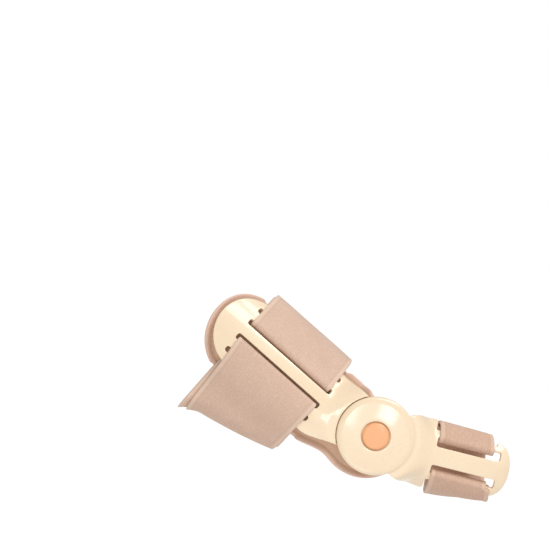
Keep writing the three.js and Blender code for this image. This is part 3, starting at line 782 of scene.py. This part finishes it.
def band(name, line_at, x0, width, tabs, edges, lift, across, pitch, material, seed):
    """A cloth band with round edges, a stitched line along each, puckers at the folds and soft waves.

    edges and lift take how many steps of the solids' bands a point is past the upper and the lower tab.
    Gives the piece and the band's length.
    """
    columns = np.linspace(x0, x0 + width, 25)
    lines = np.array([line_at(x) for x in columns])
    along = np.gradient(lines, axis=1)
    along /= np.linalg.norm(along, axis=2, keepdims=True)
    normals = np.stack([-along[..., 1], along[..., 0]], -1)
    count = lines.shape[1]
    travel = np.r_[0, np.cumsum(np.linalg.norm(np.diff(lines.mean(0), axis=0), axis=1))]
    hem = np.array(HEM_STEPS)
    body = np.linspace(BODY_START, width - BODY_START, across)
    shares = np.r_[hem, body, width - hem[::-1]] / width
    tuck = EDGE_TUCK / width
    near, middle_level = EDGE_LEVELS
    turn = [(tuck, near), (0.0, middle_level), (0.0, -middle_level), (tuck, -near)]
    section = [(o, 1.0) for o in shares] + [(1 - o, level) for o, level in turn]
    section += [(o, -1.0) for o in shares[::-1]] + [(o, -level) for o, level in turn]
    points, marks, hems, grooves = [], [], [], []
    for i in range(count):
        top = i / FINE - tabs[0]
        bottom = (count - 1 - i) / FINE - tabs[1]
        low, high = edges(top, bottom)
        end = min(1, min(i, count - 1 - i) / FINE / END_ROUND)
        cap = math.sqrt(max(END_CAP, 1 - (1 - end) ** 2))
        from_fold = min(abs(top - FOLD_STEPS / 2), abs(bottom - FOLD_STEPS / 2))
        fade = math.exp(-((max(0, from_fold - FOLD_STEPS / 2) / PUCKER_FADE) ** 2))
        pucker = PUCKER * fade * min(1, from_fold / PUCKER_START)
        for share, level in section:
            x = mix(low, high, share)
            f = np.clip((x - x0) / width, 0, 1) * (len(columns) - 1)
            c = min(int(f), len(columns) - 2)
            p = mix(lines[c, i], lines[c + 1, i], f - c)
            normal = mix(normals[c, i], normals[c + 1, i], f - c)
            normal = normal / np.linalg.norm(normal)
            u, v = share * width, travel[i]
            edge = min(u, width - u)
            groove = math.exp(-(((edge - SEAM_AT) / SEAM_W) ** 2))
            thin = 1 - SEAM_THIN * groove - EDGE_THIN * (edge < EDGE_THIN_W)
            half = HALF_T * thin * cap
            soft = WAVE * noise.noise((u * 0.07 + seed, v * 0.06, 1.7))
            soft += RIPPLE * noise.noise((u * 0.2, v * 0.15, seed))
            soft += pucker * noise.noise((u * 0.5 + seed, v * 0.2, 9.0))
            swell = max(0.0, soft) * cap * math.copysign(1, level)
            p = p + normal * (lift(top, bottom, share) + level * half + SWELL * swell)
            points.append((x, p[0], p[1]))
            marks.append((u, v))
            hems.append(1.0 if edge < HEM_W else 0.0)
            grooves.append(groove)
    ring = len(section)
    faces = [tuple(range(ring)), tuple(range((count - 1) * ring, count * ring))[::-1]]
    for i in range(count - 1):
        for k in range(ring):
            m = (k + 1) % ring
            faces.append((i * ring + k, i * ring + m, (i + 1) * ring + m, (i + 1) * ring + k))
    obj = make(name, place(points, pitch), faces, material)
    layer = obj.data.uv_layers.new(name="cloth")
    index = np.empty(len(obj.data.loops), int)
    obj.data.loops.foreach_get("vertex_index", index)
    layer.data.foreach_set("uv", (np.array(marks)[index] * MILLIMETRE).ravel())
    paint(obj, "hem", (hems, grooves))
    return obj, float(travel[-1])


def between(n, grows, ends):
    """A share that grows from 0 to 1 over the first span of steps and goes back over the second."""
    return float(smooth(n, *grows) * (1 - smooth(n, *ends)))


def foot_edges(top, bottom):
    """The band's two edges. Its ends narrow a little."""
    upper, lower = max(0.0, -top / STRAP_TABS[0]), max(0.0, -bottom / STRAP_TABS[1])
    rear = -STRAP_FRONT - STRAP_W + LOWER_SKEW * lower + UPPER_SKEW * upper
    return rear, -STRAP_FRONT - LOWER_SKEW * lower / 4


def foot_lift(top, bottom, share):
    """The band's crown between its edges, and its rear edge standing off under the sole."""

    def rise(n):
        return float(smooth(-n if n < 0 else n - FOLD_STEPS, *CROWN_GROWS))

    side = -1 if top < 0 or bottom < 0 else 1
    crown = CROWN * rise(top) * rise(bottom) * (1 - (2 * share - 1) ** 2)
    low, high = foot_edges(top, bottom)
    from_rear = mix(low, high, share) + STRAP_FRONT + STRAP_W
    n = -bottom if bottom < 0 else bottom - FOLD_STEPS
    flare = FLARE * between(n, FLARE_GROWS, FLARE_ENDS)
    return side * (crown + flare * max(0.0, 1 - from_rear / FLARE_W) ** FLARE_POWER)


def toe_edges(top, bottom):
    """The band's two edges. It leans back a little over the toe, and its front edge forward under it."""
    over = top - FOLD_STEPS if top > 0 else -top
    under = bottom - FOLD_STEPS if bottom > 0 else -bottom
    back = LEAN_BACK * between(over, BACK_GROWS, BACK_ENDS)
    forward = LEAN_FORWARD * between(under, FORWARD_GROWS, FORWARD_ENDS)
    return TOE_STRAP_REAR - back, TOE_STRAP_REAR + TOE_STRAP_W - back + forward


class Nodes:
    """A material's node tree, with short ways to add and join nodes."""

    def __init__(self, name):
        self.material = bpy.data.materials.new(name)
        self.material.use_nodes = True
        self.tree = self.material.node_tree
        self.shader = self.tree.nodes["Principled BSDF"]

    def add(self, kind, **values):
        node = self.tree.nodes.new(kind)
        for key, value in values.items():
            name = key.replace("_", " ")
            if name in node.inputs:
                node.inputs[name].default_value = value
            else:
                setattr(node, key, value)
        return node

    def link(self, a, b):
        self.tree.links.new(a, b)

    def noise(self, vector, scale, detail, roughness=0.6):
        node = self.add("ShaderNodeTexNoise", Scale=scale, Detail=detail, Roughness=roughness)
        self.link(vector, node.inputs["Vector"])
        return node.outputs["Fac"]

    def loops(self, vector, scale, randomness):
        node = self.add("ShaderNodeTexVoronoi", Scale=scale, Randomness=randomness)
        self.link(vector, node.inputs["Vector"])
        return node.outputs["Distance"]

    def ramp(self, source, stops):
        node = self.add("ShaderNodeValToRGB")
        for element, (at, colour) in zip(node.color_ramp.elements, stops):
            element.position = at
            element.color = (*colour, 1)
        self.link(source, node.inputs["Fac"])
        return node.outputs["Color"]

    def span(self, source, low, high, out_low, out_high):
        ends = {"From_Min": low, "From_Max": high, "To_Min": out_low, "To_Max": out_high}
        node = self.add("ShaderNodeMapRange", **ends)
        self.link(source, node.inputs["Value"])
        return node.outputs["Result"]

    def sum(self, a, factor, b):
        """a times a factor plus b"""
        node = self.add("ShaderNodeMath", operation="MULTIPLY_ADD")
        self.link(a, node.inputs[0])
        node.inputs[1].default_value = factor
        self.link(b, node.inputs[2])
        return node.outputs[0]

    def blend(self, kind, share, a, b):
        """b over a; share is a number or a socket, b a colour or a socket"""
        node = self.add("ShaderNodeMix", data_type="RGBA", blend_type=kind)
        if isinstance(share, float):
            node.inputs[0].default_value = share
        else:
            self.link(share, node.inputs[0])
        self.link(a, node.inputs[6])
        if isinstance(b, tuple):
            node.inputs[7].default_value = (*b, 1)
        else:
            self.link(b, node.inputs[7])
        return node.outputs[2]

    def painted(self, name):
        """The two shares that paint() stored"""
        node = self.add("ShaderNodeAttribute", attribute_name=name)
        split = self.add("ShaderNodeSeparateColor")
        self.link(node.outputs["Color"], split.inputs[0])
        return split.outputs[0], split.outputs[1]

    def finish(self, colour, roughness, height, strength, distance, **values):
        self.link(colour, self.shader.inputs["Base Color"])
        self.link(roughness, self.shader.inputs["Roughness"])
        bump = self.add("ShaderNodeBump", Strength=strength, Distance=distance)
        self.link(height, bump.inputs["Height"])
        self.link(bump.outputs["Normal"], self.shader.inputs["Normal"])
        for key, value in values.items():
            self.shader.inputs[key.replace("_", " ")].default_value = value
        return self.material


def linear(rgb):
    """An sRGB colour of 0 to 255 as linear shares."""
    return tuple(((v / 255 + 0.055) / 1.055) ** 2.4 for v in rgb)


def plastic(name, base, deep, roughness, coat):
    """Moulded plastic: a faint cloudiness in the colour, a fine moulded grain and handling marks."""
    n = Nodes(name)
    at = n.add("ShaderNodeTexCoord").outputs["Object"]
    cloud = n.ramp(n.noise(at, 38.0, 3.0, 0.5), [(0.3, linear(deep)), (0.7, linear(base))])
    marks = n.span(n.noise(at, 160.0, 6.0, 0.7), 0.35, 0.7, roughness - 0.04, roughness + 0.07)
    return n.finish(
        cloud,
        marks,
        n.noise(at, 1400.0, 2.0),
        strength=0.1,
        distance=0.00005,
        IOR=1.49,
        Coat_Weight=coat,
        Coat_Roughness=0.08,
        Subsurface_Weight=0.1,
        Subsurface_Scale=0.002,
        Subsurface_Radius=(1.0, 0.7, 0.45),
    )


def cloth(name, light, dark, hem):
    """Brushed loop cloth: rows of small loops, combed nap, slow changes of tone, a stitched selvage."""
    n = Nodes(name)
    uv = n.add("ShaderNodeUVMap", uv_map="cloth").outputs["UV"]
    at = n.add("ShaderNodeTexCoord").outputs["Object"]
    stretch = n.add("ShaderNodeMapping", Scale=(1.0, 0.45, 1.0))
    n.link(uv, stretch.inputs["Vector"])
    rows = n.add("ShaderNodeTexWave", Scale=210.0, Distortion=1.2, Detail=2.0, bands_direction="X")
    n.link(uv, rows.inputs["Vector"])
    nap = n.noise(uv, 1300.0, 4.0, 0.7)
    looped = n.sum(n.loops(stretch.outputs["Vector"], 2100.0, 0.85), 0.6, nap)
    pile = n.sum(rows.outputs["Fac"], 0.1, looped)
    colour = n.ramp(n.span(pile, 0.45, 1.15, 0, 1), [(0.0, linear(dark)), (1.0, linear(light))])
    tone = n.ramp(n.noise(at, 60.0, 4.0), [(0.3, (0.93, 0.92, 0.91)), (0.7, (1, 1, 1))])
    colour = n.blend("MULTIPLY", 1.0, colour, tone)
    selvage, groove = n.painted("hem")
    # both edges are painted paler over the hem's width
    colour = n.blend("MIX", n.span(selvage, 0, 1, 0, 0.5), colour, linear(hem))
    stitch = n.add("ShaderNodeTexWave", Scale=380.0, Distortion=0.4, bands_direction="Y")
    n.link(uv, stitch.inputs["Vector"])
    dips = n.add("ShaderNodeMath", operation="MULTIPLY")
    n.link(groove, dips.inputs[0])
    n.link(stitch.outputs["Fac"], dips.inputs[1])
    colour = n.blend("MULTIPLY", n.span(dips.outputs[0], 0, 1, 0, 0.3), colour, (0.45, 0.38, 0.33))
    rough = n.span(nap, 0.3, 0.7, 0.86, 1.0)
    return n.finish(
        colour,
        rough,
        pile,
        strength=0.4,
        distance=0.0002,
        Sheen_Weight=0.25,
        Sheen_Roughness=0.5,
        IOR=1.35,
        Sheen_Tint=(1, 0.93, 0.88, 1),
    )


def knit(name, light, dark, rim, deep):
    """Fine knitted cover over foam, with a painted highlight on the rolled rim and painted shade in the
    crease beside it.
    """
    n = Nodes(name)
    at = n.add("ShaderNodeTexCoord").outputs["Object"]
    nap = n.noise(at, 900.0, 4.0, 0.65)
    pile = n.sum(n.loops(at, 1900.0, 0.7), 0.7, nap)
    colour = n.ramp(n.span(pile, 0.45, 1.15, 0, 1), [(0.0, linear(dark)), (1.0, linear(light))])
    tone = n.ramp(n.noise(at, 70.0, 3.0), [(0.3, (0.93, 0.92, 0.91)), (0.7, (1, 1, 1))])
    colour = n.blend("MULTIPLY", 1.0, colour, tone)
    # the rim is painted paler as a highlight, and the crease darker as shade
    edge, crease = n.painted("rim")
    colour = n.blend("MIX", n.span(edge, 0, 1, 0, 0.9), colour, linear(rim))
    colour = n.blend("MIX", n.span(crease, 0, 1, 0, 0.6), colour, linear(deep))
    rough = n.span(nap, 0.3, 0.7, 0.84, 0.98)
    return n.finish(
        colour,
        rough,
        pile,
        strength=0.35,
        distance=0.00015,
        Sheen_Weight=0.25,
        Sheen_Roughness=0.5,
        IOR=1.35,
    )


cream = plastic("cream_plastic_look", (248, 226, 195), (245, 221, 189), 0.27, 0.6)
orange = plastic("orange_plastic_look", (249, 182, 130), (247, 176, 122), 0.36, 0.2)
strap_cloth = cloth("strap_cloth_look", (229, 197, 176), (208, 176, 155), (238, 212, 190))
toe_cloth = cloth("toe_strap_cloth_look", (224, 189, 167), (202, 165, 142), (234, 205, 182))
# the last two colours are the painted highlight on the pad's rim and the painted shade in the crease
# beside it
pad_knit = knit("pad_knit_look", (228, 192, 166), (204, 167, 140), (234, 199, 180), (178, 140, 110))


def hand_over(obj, body, node):
    """The piece moves with that body and takes the solid's place."""
    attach(obj, body)
    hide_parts(node)


hand_over(rear_plate(cream), "splint", "rear_plate")
hand_over(toe_plate(cream), "toe", "toe_plate")
hand_over(hinge_button(orange), "splint", "hinge_button")

pad = foot_pad(pad_knit)
hand_over(pad, "splint", "foot_pad")

strap, strap_length = band(
    "foot_strap_cloth",
    foot_line,
    -STRAP_FRONT - STRAP_W,
    STRAP_W,
    STRAP_TABS,
    foot_edges,
    foot_lift,
    across=22,
    pitch=REAR_PITCH,
    material=strap_cloth,
    seed=5.0,
)
hand_over(strap, "splint", "foot_strap")

toe_band, toe_length = band(
    "toe_strap_cloth",
    toe_line,
    TOE_STRAP_REAR,
    TOE_STRAP_W,
    TOE_TABS,
    toe_edges,
    lambda top, bottom, share: 0.0,
    across=14,
    pitch=TOE_PITCH,
    material=toe_cloth,
    seed=11.0,
)
hand_over(toe_band, "toe", "toe_strap")

# Camera, light and floor
PHOTO_PITCH = math.radians(21.3)
FRAME_W = 0.26675  # the photograph's width at the hinge
DISTANCE = 1.2
HINGE_RIGHT = 0.0485  # where the hinge lies from the middle of the photograph
HINGE_DOWN = 0.0776
SENSOR_W = 36
LAMP_TARGET = Vector((-0.02, 0.01, 0.0))
SKY_STRENGTH = 0.565
BACKDROP_STRENGTH = 1.0
FLOOR_HALF = 40
FLOOR_Z = -0.32
right = Vector((math.cos(PHOTO_PITCH), 0, math.sin(PHOTO_PITCH)))
up = Vector((-math.sin(PHOTO_PITCH), 0, math.cos(PHOTO_PITCH)))
towards = right.cross(up)

camera_data = bpy.data.cameras.new("camera")
camera_data.sensor_width = SENSOR_W
camera_data.lens = SENSOR_W * DISTANCE / FRAME_W
camera_data.clip_end = 50
camera = bpy.data.objects.new("camera", camera_data)
basis = Matrix((right, up, towards)).transposed().to_4x4()
basis.translation = right * -HINGE_RIGHT + up * HINGE_DOWN + towards * DISTANCE
camera.matrix_world = basis
bpy.context.scene.collection.objects.link(camera)
bpy.context.scene.camera = camera
bpy.context.scene.view_settings.view_transform = "Standard"


def area_light(name, offset, size, power, colour=(1, 1, 1)):
    """A square lamp turned to the object, offset to the right, up and towards the camera."""
    data = bpy.data.lights.new(name, "AREA")
    data.energy = power
    data.size = size
    data.color = colour
    lamp = bpy.data.objects.new(name, data)
    lamp.location = LAMP_TARGET + right * offset[0] + up * offset[1] + towards * offset[2]
    lamp.rotation_euler = (lamp.location - LAMP_TARGET).to_track_quat("Z", "Y").to_euler()
    bpy.context.scene.collection.objects.link(lamp)


area_light("key", (0.35, 0.80, 0.82), 0.42, 3.6, (1.0, 0.99, 0.97))
area_light("high", (0.64, 0.90, 0.47), 0.4, 3.4)
area_light("fill", (-0.35, -0.75, 0.85), 0.6, 3.2, (1.0, 0.99, 0.98))
area_light("glint", (0.118, 0.007, 1.21), 0.07, 0.27)
area_light("flash", (-0.071, 0.053, 1.21), 0.15, 0.65)

world = bpy.data.worlds.new("studio")
bpy.context.scene.world = world
world.use_nodes = True
sky = world.node_tree.nodes["Background"]
sky.inputs["Color"].default_value = (1, 1, 1, 1)
sky.inputs["Strength"].default_value = SKY_STRENGTH
backdrop = world.node_tree.nodes.new("ShaderNodeBackground")
backdrop.inputs["Color"].default_value = (1, 1, 1, 1)
backdrop.inputs["Strength"].default_value = BACKDROP_STRENGTH
seen = world.node_tree.nodes.new("ShaderNodeLightPath")
either = world.node_tree.nodes.new("ShaderNodeMixShader")
world.node_tree.links.new(seen.outputs["Is Camera Ray"], either.inputs[0])
world.node_tree.links.new(sky.outputs[0], either.inputs[1])
world.node_tree.links.new(backdrop.outputs[0], either.inputs[2])
world.node_tree.links.new(either.outputs[0], world.node_tree.nodes["World Output"].inputs["Surface"])

floor_nodes = Nodes("floor_look")
floor_nodes.shader.inputs["Roughness"].default_value = 0.95
floor_nodes.shader.inputs["Base Color"].default_value = (0.95, 0.95, 0.95, 1)
floor_nodes.shader.inputs["Emission Color"].default_value = (1, 1, 1, 1)
floor_nodes.shader.inputs["Emission Strength"].default_value = 0.5
corners = [(a * FLOOR_HALF, b * FLOOR_HALF, FLOOR_Z) for a, b in ((-1, -1), (1, -1), (1, 1), (-1, 1))]
floor = make("floor", corners, [(0, 1, 2, 3)], floor_nodes.material)
floor.visible_diffuse = False
floor.visible_shadow = False
